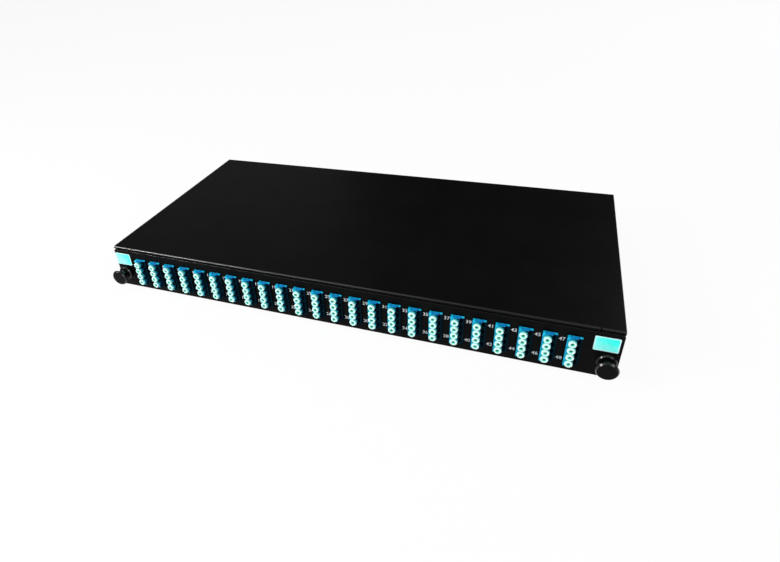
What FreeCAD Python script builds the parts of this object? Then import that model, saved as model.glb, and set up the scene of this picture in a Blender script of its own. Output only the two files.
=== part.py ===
import FreeCAD, Part
import math
import os

Vector = FreeCAD.Vector

# A sliding fibre patch panel, one rack unit high: a folded steel case, and a drawer whose front panel carries
# a row of quad fibre adapters. Sizes are in millimetres. X runs to the right as seen from the front, Y to the
# rear and Z up. The origin is the middle of the underside.

# Case
case_width = 441.0
case_height = 43.6
case_depth = 216.0
case_sheet = 1.2
bend_radius = 2.0
panel_gap = 0.4

# Cover
cover_drop = 8.0
lip_drop = 2.1
lip_setback = 0.4
notch_from_end = 16.0
notch_width = 0.9

# Cover screws, countersunk
screw_head_radius = 2.7
screw_shank_radius = 1.5
screw_length = 3.4
side_screw_from_end = 48.0
rear_screw_from_side = 70.5

# Front panel
panel_sheet = 1.5
panel_bottom = 0.6
panel_top_gap = 0.9
panel_return = 9.0
panel_corner_radius = 2.0

# Tapped holes for rack ears, in the case's sides
ear_hole_radius = 1.65
ear_hole_spacing = 25.0
ear_hole_from_front = 22.0
ear_hole_height = 11.0

# Cable plates at both ends of the rear wall, their slots and the slots' rubber frames
cable_plate_width = 80.0
cable_slot_width = 36.0
cable_slot_height = 14.0
cable_slot_bottom = 9.0
cable_slot_from_side = 50.5
grommet_wall = 2.0
grommet_flange = 2.0
grommet_lip = 1.5

# Drawer slides
rail_sheet = 1.2
rail_height = 13.0
rail_below_lip = 5.4
rail_clearance = 0.4
rail_side_gap = 1.0
rail_front_gap = 3.0
rail_rear_gap = 6.4

# Drawer tray
tray_sheet = 1.2
tray_lift = 1.2
tray_rear_space = 16.1
tray_rear_height = 10.0
tray_flange_gap = 0.5

# Latch tabs on the case, behind the ends of the panel
tab_width = 13.6
tab_floor_gap = 1.0
tab_rail_gap = 2.0
tab_side_gap = 0.6

# Push-pull latches
latch_below_tab_top = 5.0
sleeve_radius = 2.9
sleeve_past_tab = 3.0
hole_clearance = 0.3
collar_radius = 7.0
collar_length = 3.5
collar_chamfer = 1.0
neck_radius = 4.0
neck_length = 5.6
knob_radius = 7.8
knob_length = 3.0
knob_chamfer = 1.1
pin_radius = 1.6
latch_play = 0.3

# Row of adapters
adapter_count = 24
adapter_width = 10.0
adapter_height = 26.6
adapter_face = 3.0
adapter_rear = 24.0
adapter_shoulder = 0.4
cutout_clearance = 0.1
row_offset = -0.8
row_drop = 0.5
key_side_width = 2.9
key_side_face = 1.4
key_groove_width = 1.6
key_groove_depth = 1.0

# Dust caps, four to an adapter
cap_rows = 4
cap_pitch = 6.25
cap_radius = 3.0
cap_tip_radius = 2.8
cap_reach = 2.9
cap_seat_depth = 2.0
cap_seat_clearance = 0.1
cap_hole_radius = 1.15
cap_hole_depth = 2.9
cap_from_left = 3.6

# Labels
label_width = 16.6
label_height = 12.6
label_thickness = 0.25
label_row_gap = 7.3
label_edge_gap = 0.5
label_collar_gap = 1.4

# Splice trays, studs and fibre guides
fibre_space = 80.3
splice_height = 14.0
splice_wall = 1.6
splice_corner = 10.0
splice_side_gap = 17.1
splice_middle_gap = 24.0
splice_rear_gap = 6.0
splice_lid = 1.5
hub_radius = 20.0
hub_height = 8.0
hub_spacing = 110.0
rib_count = 6
rib_width = 1.6
rib_pitch = 4.4
rib_length = 44.0
rib_height = 7.0
stud_radius = 2.0
nut_radius = 4.0
nut_height = 5.0
stud_past_nut = 1.5
clip_height = 16.0
clip_width = 9.0
clip_wall = 1.6
clip_mouth = 3.0
clip_wall_gap = 1.5
clip_spacing = 30.0
clip_from_splice = 18.0

# Turned pieces are made with a few flat sides, to keep the model light
small_sides = 8
latch_sides = 20

# How far a cutter reaches past what it cuts, and how closely two places have to agree
cut_over = 2.0
same_place = 0.01

# Places that several pieces share
front_plane = -case_depth / 2
panel_half = case_width / 2
panel_back = front_plane + panel_sheet
chassis_front = panel_back + panel_gap
chassis_back = case_depth / 2 - case_sheet
chassis_half = case_width / 2 - case_sheet
chassis_inner = chassis_half - case_sheet
rear_inside = chassis_back - case_sheet
cable_plate_inner = chassis_inner - cable_plate_width
chassis_top = case_height - bend_radius
cover_under = case_height - case_sheet
lip_bottom = case_height - lip_drop
panel_top = lip_bottom - panel_top_gap
cover_bottom = case_height - cover_drop
screw_height = case_height - cover_drop / 2
rail_top = lip_bottom - rail_below_lip
rail_bottom = rail_top - rail_height
rail_start = chassis_front + case_sheet + rail_front_gap
tab_top = rail_bottom - tab_rail_gap
tab_inner = case_width / 2 - tab_width
tray_half = tab_inner - tab_side_gap
tray_bottom = case_sheet + tray_lift
tray_floor = tray_bottom + tray_sheet
tray_back = rear_inside - tray_rear_space
rail_end = tray_back - rail_rear_gap
latch_x = (tab_inner + chassis_inner) / 2
latch_z = tab_top - latch_below_tab_top
sleeve_end = chassis_front + case_sheet + sleeve_past_tab
row_z = (panel_bottom + panel_top) / 2 - row_drop
row_end = label_edge_gap + label_width + label_row_gap + adapter_width / 2
row_half = panel_half - abs(row_offset) - row_end
adapter_pitch = 2 * row_half / (adapter_count - 1)
cutout_width = adapter_width - 2 * adapter_shoulder + 2 * cutout_clearance
cutout_height = adapter_height - 2 * adapter_shoulder + 2 * cutout_clearance
tray_flange_top = row_z - cutout_height / 2 - tray_flange_gap
splice_back = tray_back - tray_sheet - splice_rear_gap
splice_front = front_plane + adapter_rear + fibre_space
splice_inner = splice_middle_gap / 2
splice_outer = tray_half - tray_sheet - splice_side_gap
splice_x = (splice_inner + splice_outer) / 2
splice_y = (splice_front + splice_back) / 2
splice_top = tray_floor + splice_height
lid_top = splice_top + splice_lid
stud_top = lid_top + nut_height + stud_past_nut


def block(x0, x1, y0, y1, z0, z1):
    """Return a box between two corners."""
    return Part.makeBox(x1 - x0, y1 - y0, z1 - z0, Vector(x0, y0, z0))


def flat_face(points):
    """Return a flat face with straight sides."""
    return Part.Face(Part.makePolygon(points + points[:1]))


def plate(outline, z0, z1):
    """Return an upright prism over an outline of X and Y pairs."""
    points = [Vector(x, y, z0) for x, y in outline]
    return flat_face(points).extrude(Vector(0, 0, z1 - z0))


def bar(outline, y0, y1):
    """Return a prism from front to rear with a section of X and Z pairs."""
    points = [Vector(x, y0, z) for x, z in outline]
    return flat_face(points).extrude(Vector(0, y1 - y0, 0))


def turned(profile, start, direction, sides=small_sides):
    """Return a turned piece with flat sides, from radius and distance pairs.

    A solid piece's profile begins and ends on the axis. A bored one's goes round and back to its first pair.
    """
    turn = FreeCAD.Rotation(Vector(0, 0, 1), direction)
    rings = []
    for radius, distance in profile:
        ring = []
        for side in range(sides):
            angle = 2 * math.pi * (side + 0.5) / sides
            corner = Vector(radius * math.cos(angle), radius * math.sin(angle), distance)
            ring.append(start + turn.multVec(corner))
        rings.append(ring)
    faces = []
    steps = zip(profile, profile[1:], rings, rings[1:])
    for (near_radius, near_at), (far_radius, far_at), near, far in steps:
        if near_radius * far_radius == 0 and near_at == far_at:
            faces.append(flat_face(near if far_radius == 0 else far))
            continue
        for side in range(sides):
            after = (side + 1) % sides
            corners = [near[side], near[after], far[after], far[side]]
            if far_radius == 0:
                corners.pop()
            faces.append(flat_face(corners))
    shell = Part.Shell(faces)
    shell.sewShape()
    solid = Part.Solid(shell)
    if solid.Volume < 0:
        solid.reverse()
    return solid.removeSplitter()


def hole(radius, start, direction, length):
    """Return the cutter of a hole with flat sides, which a round bar of that radius just passes."""
    corner_radius = radius / math.cos(math.pi / small_sides)
    return turned([(0, 0), (corner_radius, 0), (corner_radius, length), (0, length)], start, direction)


def mirrored(shape):
    """Return the same piece on the other side of the middle plane."""
    return shape.mirror(Vector(0, 0, 0), Vector(1, 0, 0))


def long_edges(solid, axis, z):
    """Return the edges along an axis that lie at a height."""
    found = []
    for edge in solid.Edges:
        size = edge.BoundBox
        length = {"X": size.XLength, "Y": size.YLength}[axis]
        if length > bend_radius and size.ZLength < same_place and abs(size.ZMax - z) < same_place:
            found.append(edge)
    return found


def adapter_centres():
    """Return the X of each adapter, from left to right."""
    return [row_offset - row_half + index * adapter_pitch for index in range(adapter_count)]


def cap_heights():
    """Return the height of each row of dust caps, from the top."""
    middle = (cap_rows - 1) / 2
    return [row_z + (middle - row) * cap_pitch for row in range(cap_rows)]


def screw_places():
    """Return the outer end and the inward direction of each cover screw."""
    places = []
    for side in (-1, 1):
        for step in (-1, 1):
            y = step * (case_depth / 2 - side_screw_from_end)
            places.append((Vector(side * case_width / 2, y, screw_height), Vector(-side, 0, 0)))
        x = side * (case_width / 2 - rear_screw_from_side)
        places.append((Vector(x, case_depth / 2, screw_height), Vector(0, -1, 0)))
    return places


def make_screws():
    """Return the cover screws, which also serve as the cutters of their holes."""
    profile = [
        (0, 0),
        (screw_head_radius, 0),
        (screw_shank_radius, case_sheet),
        (screw_shank_radius, screw_length),
        (0, screw_length),
    ]
    return [turned(profile, start, inward) for start, inward in screw_places()]


def cable_slot(side, grow, y0, y1):
    """Return a block through a cable slot, grown on all four sides."""
    x = side * (case_width / 2 - cable_slot_from_side)
    half = cable_slot_width / 2 + grow
    z0 = cable_slot_bottom - grow
    z1 = cable_slot_bottom + cable_slot_height + grow
    return block(x - half, x + half, y0, y1, z0, z1)


def ear_holes(side):
    """Return the cutters of the tapped ear holes in one side wall."""
    holes = []
    for step in (0, 1):
        y = front_plane + ear_hole_from_front + step * ear_hole_spacing
        start = Vector(side * (chassis_half + cut_over), y, ear_hole_height)
        length = case_sheet + 2 * cut_over
        holes.append(Part.makeCylinder(ear_hole_radius, length, start, Vector(-side, 0, 0)))
    return holes


def sleeve_hole(side, y0, y1):
    """Return the cutter of a latch sleeve's hole."""
    start = Vector(side * latch_x, y0, latch_z)
    return hole(sleeve_radius + hole_clearance, start, Vector(0, 1, 0), y1 - y0)


def make_chassis():
    """Return the folded channel of floor and side walls, with its latch tabs, ear holes and screw holes."""
    outer = block(-chassis_half, chassis_half, chassis_front, chassis_back, 0, chassis_top)
    outer = outer.makeFillet(bend_radius, long_edges(outer, "Y", 0))
    inner = block(
        -chassis_inner,
        chassis_inner,
        chassis_front - cut_over,
        chassis_back + cut_over,
        case_sheet,
        chassis_top + cut_over,
    )
    inner = inner.makeFillet(bend_radius - case_sheet, long_edges(inner, "Y", case_sheet))
    tabs = []
    cutters = make_screws()
    for side in (-1, 1):
        x0, x1 = sorted((side * tab_inner, side * chassis_inner))
        tab_bottom = case_sheet + tab_floor_gap
        tabs.append(block(x0, x1, chassis_front, chassis_front + case_sheet, tab_bottom, tab_top))
        cutters.append(sleeve_hole(side, chassis_front - cut_over, chassis_front + case_sheet + cut_over))
        cutters.extend(ear_holes(side))
    return outer.cut(inner).fuse(tabs).removeSplitter().cut(cutters)


def make_rear_panel():
    """Return the middle of the rear wall, welded to the floor between the cable plates."""
    return block(-cable_plate_inner, cable_plate_inner, rear_inside, chassis_back, case_sheet, chassis_top)


def make_cable_plate(side):
    """Return one end of the rear wall: a plate with a cable slot, held by one of the cover's screws."""
    x0, x1 = sorted((side * cable_plate_inner, side * chassis_inner))
    wall = block(x0, x1, rear_inside, chassis_back, case_sheet, chassis_top)
    upright = [edge for edge in wall.Edges if edge.BoundBox.YLength > case_sheet / 2]
    low = [edge for edge in upright if edge.BoundBox.ZMax < chassis_top / 2]
    outer_low = [edge for edge in low if abs(edge.BoundBox.XMin) > cable_plate_inner + same_place]
    wall = wall.makeFillet(bend_radius, outer_low)
    slot = cable_slot(side, grommet_wall, rear_inside - cut_over, chassis_back + cut_over)
    return wall.cut(make_screws() + [slot])


def make_cover():
    """Return the lid: a top with a rounded front lip, and flanges at the sides and rear."""
    lip_front = front_plane + lip_setback
    half = case_width / 2
    outer = block(-half, half, lip_front, case_depth / 2, cover_bottom, case_height)
    top_edges = long_edges(outer, "X", case_height) + long_edges(outer, "Y", case_height)
    outer = outer.makeFillet(bend_radius, top_edges)
    inner = block(
        -chassis_half,
        chassis_half,
        lip_front + case_sheet,
        chassis_back,
        cover_bottom - cut_over,
        cover_under,
    )
    inner_edges = long_edges(inner, "X", cover_under) + long_edges(inner, "Y", cover_under)
    inner = inner.makeFillet(bend_radius - case_sheet, inner_edges)
    below_lip = block(
        -half - cut_over,
        half + cut_over,
        lip_front - cut_over,
        chassis_front,
        cover_bottom - cut_over,
        lip_bottom,
    )
    cutters = [inner, below_lip] + make_screws()
    for side in (-1, 1):
        x = side * (half - notch_from_end)
        cutters.append(
            block(
                x - notch_width / 2,
                x + notch_width / 2,
                lip_front - cut_over,
                lip_front + bend_radius,
                lip_bottom - cut_over,
                case_height + cut_over,
            )
        )
    return outer.cut(cutters)


def make_grommet(side):
    """Return the rubber frame of one cable slot, with a flange on both faces of the wall."""
    y0 = rear_inside - grommet_lip
    y1 = chassis_back + grommet_lip
    ring = cable_slot(side, grommet_wall, y0, y1)
    flange_out = cable_slot(side, grommet_wall + grommet_flange, chassis_back, y1)
    flange_in = cable_slot(side, grommet_wall + grommet_flange, y0, rear_inside)
    mouth = cable_slot(side, 0, y0 - cut_over, y1 + cut_over)
    return ring.fuse([flange_out, flange_in]).removeSplitter().cut(mouth)


def make_rail(web_x, lip_x, z0, z1):
    """Return one half of a slide: a channel with its web at one X and its lips reaching to another."""
    inside_x = web_x + math.copysign(rail_sheet, lip_x - web_x)
    section = [
        (web_x, z0),
        (lip_x, z0),
        (lip_x, z0 + rail_sheet),
        (inside_x, z0 + rail_sheet),
        (inside_x, z1 - rail_sheet),
        (lip_x, z1 - rail_sheet),
        (lip_x, z1),
        (web_x, z1),
    ]
    return bar(section, rail_start, rail_end)


def make_outer_rail():
    """Return the right outer rail, against the case's side wall."""
    lip_x = tray_half + rail_sheet + rail_side_gap
    return make_rail(chassis_inner, lip_x, rail_bottom, rail_top)


def make_inner_rail():
    """Return the right inner rail, against the tray's side wall."""
    lip_x = chassis_inner - rail_sheet - rail_side_gap
    step = rail_sheet + rail_clearance
    return make_rail(tray_half, lip_x, rail_bottom + step, rail_top - step)


def make_panel():
    """Return the drawer's front plate, with its top return, adapter cut-outs and latch holes."""
    front = block(-panel_half, panel_half, front_plane, panel_back, panel_bottom, panel_top)
    upright = [edge for edge in front.Edges if edge.BoundBox.YLength > panel_sheet / 2]
    corners = [edge for edge in upright if edge.BoundBox.ZMin > row_z]
    front = front.makeFillet(panel_corner_radius, corners)
    return_half = tray_half - tray_sheet - panel_gap
    top_return = block(
        -return_half,
        return_half,
        front_plane + panel_sheet / 2,
        front_plane + panel_return,
        panel_top - panel_sheet,
        panel_top,
    )
    cutters = []
    for x in adapter_centres():
        half = cutout_width / 2
        z0 = row_z - cutout_height / 2
        cutters.append(
            block(x - half, x + half, front_plane - cut_over, panel_back + cut_over, z0, z0 + cutout_height)
        )
    for side in (-1, 1):
        cutters.append(sleeve_hole(side, front_plane - cut_over, panel_back + cut_over))
    return front.fuse(top_return).removeSplitter().cut(cutters)


def make_tray():
    """Return the folded drawer tray: floor, side walls, a low rear wall and a flange behind the panel."""
    outer = block(-tray_half, tray_half, panel_back, tray_back, tray_bottom, rail_top)
    outer = outer.makeFillet(bend_radius, long_edges(outer, "Y", tray_bottom))
    inner_half = tray_half - tray_sheet
    inner = block(
        -inner_half,
        inner_half,
        panel_back + tray_sheet,
        tray_back - tray_sheet,
        tray_floor,
        rail_top + cut_over,
    )
    inner = inner.makeFillet(bend_radius - tray_sheet, long_edges(inner, "Y", tray_floor))
    over_flange = block(
        -inner_half, inner_half, panel_back - cut_over, splice_y, tray_flange_top, rail_top + cut_over
    )
    over_rear = block(
        -inner_half,
        inner_half,
        splice_y,
        tray_back + cut_over,
        tray_bottom + tray_rear_height,
        rail_top + cut_over,
    )
    return outer.cut([inner, over_flange, over_rear])


def make_adapter(x):
    """Return one quad adapter: a stepped front with a seat for its caps, and the body behind the panel."""
    left = x - adapter_width / 2
    right = x + adapter_width / 2
    step = right - key_side_width
    z0 = row_z - adapter_height / 2
    z1 = row_z + adapter_height / 2
    face_y = front_plane - adapter_face
    latch_y = front_plane - key_side_face
    front = plate(
        [
            (left, front_plane),
            (left, face_y),
            (step, face_y),
            (step, latch_y),
            (right, latch_y),
            (right, front_plane),
        ],
        z0,
        z1,
    )
    body = block(
        left + adapter_shoulder,
        right - adapter_shoulder,
        face_y + cap_seat_depth,
        front_plane + adapter_rear,
        z0 + adapter_shoulder,
        z1 - adapter_shoulder,
    )
    seat_half = cap_radius + cap_seat_clearance
    cap_x = left + cap_from_left
    seat_height = cap_pitch * (cap_rows - 1) / 2 + seat_half
    seat = block(
        cap_x - seat_half,
        cap_x + seat_half,
        face_y - cut_over,
        face_y + cap_seat_depth,
        row_z - seat_height,
        row_z + seat_height,
    )
    groove = block(
        step,
        step + key_groove_width,
        latch_y - cut_over,
        latch_y + key_groove_depth,
        row_z - seat_height,
        row_z + seat_height,
    )
    return front.fuse(body).removeSplitter().cut([seat, groove])


def make_cap_row(z):
    """Return one row of dust caps, one in each adapter."""
    seat_y = front_plane - adapter_face + cap_seat_depth
    length = cap_seat_depth + cap_reach
    profile = [
        (0, 0),
        (cap_radius, 0),
        (cap_tip_radius, length),
        (cap_hole_radius, length),
        (0, length - cap_hole_depth),
    ]
    caps = []
    for x in adapter_centres():
        cap_x = x - adapter_width / 2 + cap_from_left
        caps.append(turned(profile, Vector(cap_x, seat_y, z), Vector(0, -1, 0)))
    return Part.makeCompound(caps)


def make_label(side):
    """Return one sticker, beside the end of the row and above its latch."""
    row_edge = row_offset + side * (row_half + adapter_width / 2)
    near = row_edge + side * label_row_gap
    x0, x1 = sorted((near, near + side * label_width))
    z0 = latch_z + collar_radius + label_collar_gap
    return block(x0, x1, front_plane - label_thickness, front_plane, z0, z0 + label_height)


def make_collar():
    """Return the right latch's fixed collar, with the sleeve that reaches through panel and tab."""
    bore = pin_radius + latch_play
    sleeve_length = sleeve_end - front_plane
    profile = [
        (bore, -collar_length),
        (collar_radius - collar_chamfer, -collar_length),
        (collar_radius, collar_chamfer - collar_length),
        (collar_radius, 0),
        (sleeve_radius, 0),
        (sleeve_radius, sleeve_length),
        (bore, sleeve_length),
        (bore, -collar_length),
    ]
    return turned(profile, Vector(latch_x, front_plane, latch_z), Vector(0, 1, 0), latch_sides)


def make_plunger():
    """Return the right latch's moving part: knob, neck and pin."""
    neck_end = -collar_length - latch_play
    knob_back = neck_end - neck_length
    knob_front = knob_back - knob_length
    pin_end = sleeve_end - front_plane
    profile = [
        (0, knob_front),
        (knob_radius - knob_chamfer, knob_front),
        (knob_radius, knob_front + knob_chamfer),
        (knob_radius, knob_back - knob_chamfer),
        (knob_radius - knob_chamfer, knob_back),
        (neck_radius, knob_back),
        (neck_radius, neck_end),
        (pin_radius, neck_end),
        (pin_radius, pin_end),
        (0, pin_end),
    ]
    return turned(profile, Vector(latch_x, front_plane, latch_z), Vector(0, 1, 0), latch_sides)


def splice_outline(inset):
    """Return the right splice tray's outline, with its corners cut off."""
    half_x = (splice_outer - splice_inner) / 2 - inset
    half_y = (splice_back - splice_front) / 2 - inset
    corner = splice_corner - inset / 2
    outline = []
    for sign_x, sign_y in ((1, 1), (-1, 1), (-1, -1), (1, -1)):
        along = (sign_x * (half_x - corner), sign_y * half_y)
        down = (sign_x * half_x, sign_y * (half_y - corner))
        outline.extend([down, along] if sign_x == sign_y else [along, down])
    return [(splice_x + x, splice_y + y) for x, y in outline]


def stud_hole(z0, z1):
    """Return the cutter of the right stud's hole."""
    start = Vector(splice_x, splice_y, z0)
    return hole(stud_radius + hole_clearance, start, Vector(0, 0, 1), z1 - z0)


def make_splice_tray():
    """Return the right splice tray: an open tray with two winding hubs and a comb for the splices."""
    floor = tray_floor + splice_wall
    tray = plate(splice_outline(0), tray_floor, splice_top)
    tray = tray.cut(plate(splice_outline(splice_wall), floor, splice_top + cut_over))
    inside = []
    for side in (-1, 1):
        centre = Vector(splice_x + side * hub_spacing / 2, splice_y, tray_floor)
        height = splice_wall + hub_height
        hub = [(0, 0), (hub_radius, 0), (hub_radius, height), (0, height)]
        inside.append(turned(hub, centre, Vector(0, 0, 1)))
    for index in range(rib_count):
        y = splice_front + splice_wall + rib_pitch * (index + 1)
        inside.append(
            block(
                splice_x - rib_length / 2,
                splice_x + rib_length / 2,
                y,
                y + rib_width,
                tray_floor,
                floor + rib_height,
            )
        )
    return tray.fuse(inside).removeSplitter().cut(stud_hole(tray_floor - cut_over, splice_top))


def make_splice_lid():
    """Return the right splice tray's lid."""
    lid = plate(splice_outline(0), splice_top, lid_top)
    return lid.cut(stud_hole(splice_top - cut_over, lid_top + cut_over))


def make_stud():
    """Return the right stud, which stands on the drawer tray."""
    length = stud_top - tray_floor
    profile = [(0, 0), (stud_radius, 0), (stud_radius, length), (0, length)]
    return turned(profile, Vector(splice_x, splice_y, tray_floor), Vector(0, 0, 1))


def make_nut():
    """Return the right nut, screwed down on the lid."""
    profile = [(0, 0), (nut_radius, 0), (nut_radius, nut_height), (0, nut_height)]
    nut = turned(profile, Vector(splice_x, splice_y, lid_top), Vector(0, 0, 1))
    return nut.cut(make_stud())


def make_clip(y):
    """Return one right-hand fibre guide: a square loop with a mouth in its top."""
    x1 = tray_half - tray_sheet - clip_wall_gap
    x0 = x1 - clip_height
    z0 = tray_floor
    z1 = tray_floor + clip_height
    mouth_x0 = (x0 + x1 - clip_mouth) / 2
    mouth_x1 = mouth_x0 + clip_mouth
    section = [
        (mouth_x0, z1),
        (x0, z1),
        (x0, z0),
        (x1, z0),
        (x1, z1),
        (mouth_x1, z1),
        (mouth_x1, z1 - clip_wall),
        (x1 - clip_wall, z1 - clip_wall),
        (x1 - clip_wall, z0 + clip_wall),
        (x0 + clip_wall, z0 + clip_wall),
        (x0 + clip_wall, z1 - clip_wall),
        (mouth_x0, z1 - clip_wall),
    ]
    return bar(section, y, y + clip_width)


def make_clips():
    """Return the fibre guides of both sides."""
    clips = []
    for index in (0, 1):
        y = splice_front - clip_from_splice - index * clip_spacing
        clip = make_clip(y)
        clips.extend([clip, mirrored(clip)])
    return Part.makeCompound(clips)


def pair(name, shape):
    """Return the left and right nodes of a piece that comes in a pair."""
    return {name + "_right": shape, name + "_left": mirrored(shape)}


def make_nodes():
    """Return every node of the part by its name."""
    nodes = {
        "chassis": make_chassis(),
        "rear_panel": make_rear_panel(),
        "cable_plate_left": make_cable_plate(-1),
        "cable_plate_right": make_cable_plate(1),
        "top_cover": make_cover(),
        "cover_screws": Part.makeCompound(make_screws()),
        "cable_grommet_left": make_grommet(-1),
        "cable_grommet_right": make_grommet(1),
        "front_panel": make_panel(),
        "drawer_tray": make_tray(),
        "label_left": make_label(-1),
        "label_right": make_label(1),
        "routing_clips": make_clips(),
    }
    nodes.update(pair("outer_rail", make_outer_rail()))
    nodes.update(pair("inner_rail", make_inner_rail()))
    nodes.update(pair("latch_collar", make_collar()))
    nodes.update(pair("latch_plunger", make_plunger()))
    nodes.update(pair("splice_tray", make_splice_tray()))
    nodes.update(pair("splice_lid", make_splice_lid()))
    stud = make_stud()
    nodes["tray_studs"] = Part.makeCompound([stud, mirrored(stud)])
    nut = make_nut()
    nodes["stud_nuts"] = Part.makeCompound([nut, mirrored(nut)])
    for number, x in enumerate(adapter_centres(), start=1):
        nodes["adapter_%02d" % number] = make_adapter(x)
    for row, z in enumerate(cap_heights(), start=1):
        nodes["dust_caps_row_%d" % row] = make_cap_row(z)
    return nodes


os.makedirs("parts", exist_ok=True)
for node, shape in make_nodes().items():
    shape.exportStep("parts/" + node + ".step")
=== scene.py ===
import itertools
import math

import bmesh
import bpy
from mathutils import Matrix, Vector


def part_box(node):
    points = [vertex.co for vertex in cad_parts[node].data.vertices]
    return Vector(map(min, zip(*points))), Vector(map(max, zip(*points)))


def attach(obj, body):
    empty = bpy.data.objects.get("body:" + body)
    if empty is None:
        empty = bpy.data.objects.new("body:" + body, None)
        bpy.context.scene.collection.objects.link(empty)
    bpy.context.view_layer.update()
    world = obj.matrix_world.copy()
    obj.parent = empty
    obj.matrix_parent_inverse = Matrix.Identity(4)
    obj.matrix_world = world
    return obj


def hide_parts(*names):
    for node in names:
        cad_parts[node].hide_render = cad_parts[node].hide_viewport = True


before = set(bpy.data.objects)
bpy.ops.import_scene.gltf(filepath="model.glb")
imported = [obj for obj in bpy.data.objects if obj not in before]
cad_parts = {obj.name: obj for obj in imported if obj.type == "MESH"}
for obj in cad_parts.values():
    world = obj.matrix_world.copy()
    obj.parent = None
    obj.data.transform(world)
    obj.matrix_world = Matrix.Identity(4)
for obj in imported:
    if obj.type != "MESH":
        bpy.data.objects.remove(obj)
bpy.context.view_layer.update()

# A sliding fibre patch panel. Lengths are in millimetres: meshes are made in millimetres and scaled
# when they are placed. X runs to the right as seen from the front, Y to the rear and Z up.
MM = 0.001
FORWARD = Vector((0, -1, 0))
REARWARD = Vector((0, 1, 0))
UPWARD = Vector((0, 0, 1))

# Camera, as it stood for the photograph
IMAGE_WIDTH = 780
IMAGE_HEIGHT = 562
CAMERA_PLACE = Vector((152.6, -432.7, 297.6))
CAMERA_TARGET = Vector((-36.97, 5.75, 0.0))
CAMERA_ROLL = math.radians(-4.603)
FOCAL_PIXELS = 537.82
PRINCIPAL_X = 337.84
PRINCIPAL_Y = 249.65
SENSOR_WIDTH = 36.0
CLIP_NEAR = 10.0
CLIP_FAR = 100000.0

# Floor: its size, its own finish, and the share of white light that it shows where it is seen
FLOOR_SIZE = 16000.0
FLOOR_COLOUR = (0.86, 0.86, 0.86, 1)
FLOOR_ROUGHNESS = 0.9
FLOOR_GLOW = 0.93
WHITE = (1, 1, 1, 1)

# Backdrop and sky. Heights are those of the direction looked in: 0 is level and 1 is overhead.
BACKDROP_TOP = 0.06
BACKDROP_STRENGTH = 0.94
SKY_LOW = 0.48
SKY_HIGH = 0.62
LOW_STRENGTH = 0.02
HIGH_STRENGTH = 0.40

# The point that all the lamps are aimed at
LAMP_AIM = Vector((0, 0, 20))

# Range that noise keeps to for the most part, and the narrower range over which a colour drifts
NOISE_LOW = 0.3
NOISE_HIGH = 0.7
DRIFT_LOW = 0.35
DRIFT_HIGH = 0.65

# Places in the lists of materials of sheets, adapters, caps, labels and latches
SAME_FINISH = -1
EDGE_FINISH = 1
# The adapters' key side is painted shade in navy, and their rims and ears are painted light in a paler
# blue
KEY_SIDE_SHADE_FINISH = 1
CERAMIC_FINISH = 2
LIT_RIM_FINISH = 3
CAP_FINISH = 0
HOLE_FLOOR_SHADE_FINISH = 1
HOLE_WALL_FINISH = 2
FILM_FINISH = 0
BORDER_FINISH = 1
LATCH_FACE_FINISH = 1

# Edges: their roundings, and when faces count as smooth or flat and points as one
SHEET_EDGE = 0.18
PLASTIC_EDGE = 0.14
RUBBER_EDGE = 0.5
EDGE_STEPS = 2
EDGE_PROFILE = 0.5
CORNER_STEPS = 5
SMOOTH_ANGLE = math.radians(38)
FLAT_ANGLE = math.radians(0.5)
TOUCH = 0.001
PLANE_DIGITS = 5

# Cuts: how far they reach past a surface or into each other, and the margin for sorting their faces
PAST = 1.0
CUT_OVERLAP = 0.1
MARGIN = 0.01

# How far ahead a face has to look, as a share of its normal, to count as a front face
ADAPTER_FRONT_LOOK = 0.5
LATCH_FRONT_LOOK = 0.94

# Cover
COVER_SHEET = 1.2
FOLD_RADIUS = 1.6
FOLD_STEPS = 8
SIDE_FOLD_RADIUS = 0.7
SIDE_FOLD_STEPS = 4
LIP_DROP = 2.1
NOTCH_FROM_END = 16.0
NOTCH_WIDTH = 0.9

# Faces of the front fold: the least and the most that they look up, and the least that they look ahead
FOLD_LEAST_RISE = 0.3
FOLD_MOST_RISE = 0.99
FOLD_LEAST_LEAN = 0.05

# Adapter front: the key side beside the caps, its latch channels, the ears, and the seat of the caps
ADAPTER_COUNT = 24
KEY_SIDE_WIDTH = 2.9
KEY_SIDE_FACE = 1.4
CHANNEL_WIDTH = 1.6
CHANNEL_HEIGHT = 4.1
CHANNEL_DEPTH = 4.0
CHANNEL_FROM_CAP = 2.2
EAR_WIDTH = 1.8
EAR_HEIGHT = 0.55
BODY_SHOULDER = 0.4
SEAT_SIDE_RIM = 0.5
SEAT_END_RIM = 0.825
SEAT_DEPTH = 2.0
SEAT_PLAY = 0.1
VALLEY_START = 0.8
VALLEY_STEPS = 7

# Adapter rear: sockets with their sleeves, and the seam between the two halves of the moulding
SOCKET_WIDTH = 5.4
SOCKET_HEIGHT = 4.8
SOCKET_DEPTH = 9.0
KEYWAY_WIDTH = 1.7
KEYWAY_HEIGHT = 3.4
SLEEVE_RADIUS = 1.45
SLEEVE_BORE = 1.05
SLEEVE_LENGTH = 6.5
SLEEVE_SEGMENTS = 20
SEAM_FROM_PANEL = 11.5
SEAM_WIDTH = 0.35
SEAM_DEPTH = 0.25

# Dust caps
CAP_ROWS = 4
CAP_PITCH = 6.25
CAP_FROM_LEFT = 3.6
CAP_RADIUS = 3.0
CAP_TIP_RADIUS = 2.8
CAP_BASE_ROUND = 0.2
CAP_TIP_ROUND = 0.5
CAP_HOLE_RADIUS = 1.4
CAP_HOLE_ROUND = 0.15
CAP_HOLE_DEPTH = 2.0
CAP_HOLE_FLOOR = 1.1
# Length of the caps' barrel over which painted shade darkens them
CAP_SHADE_LENGTH = 3.3
CAP_SEGMENTS = 32

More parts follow.
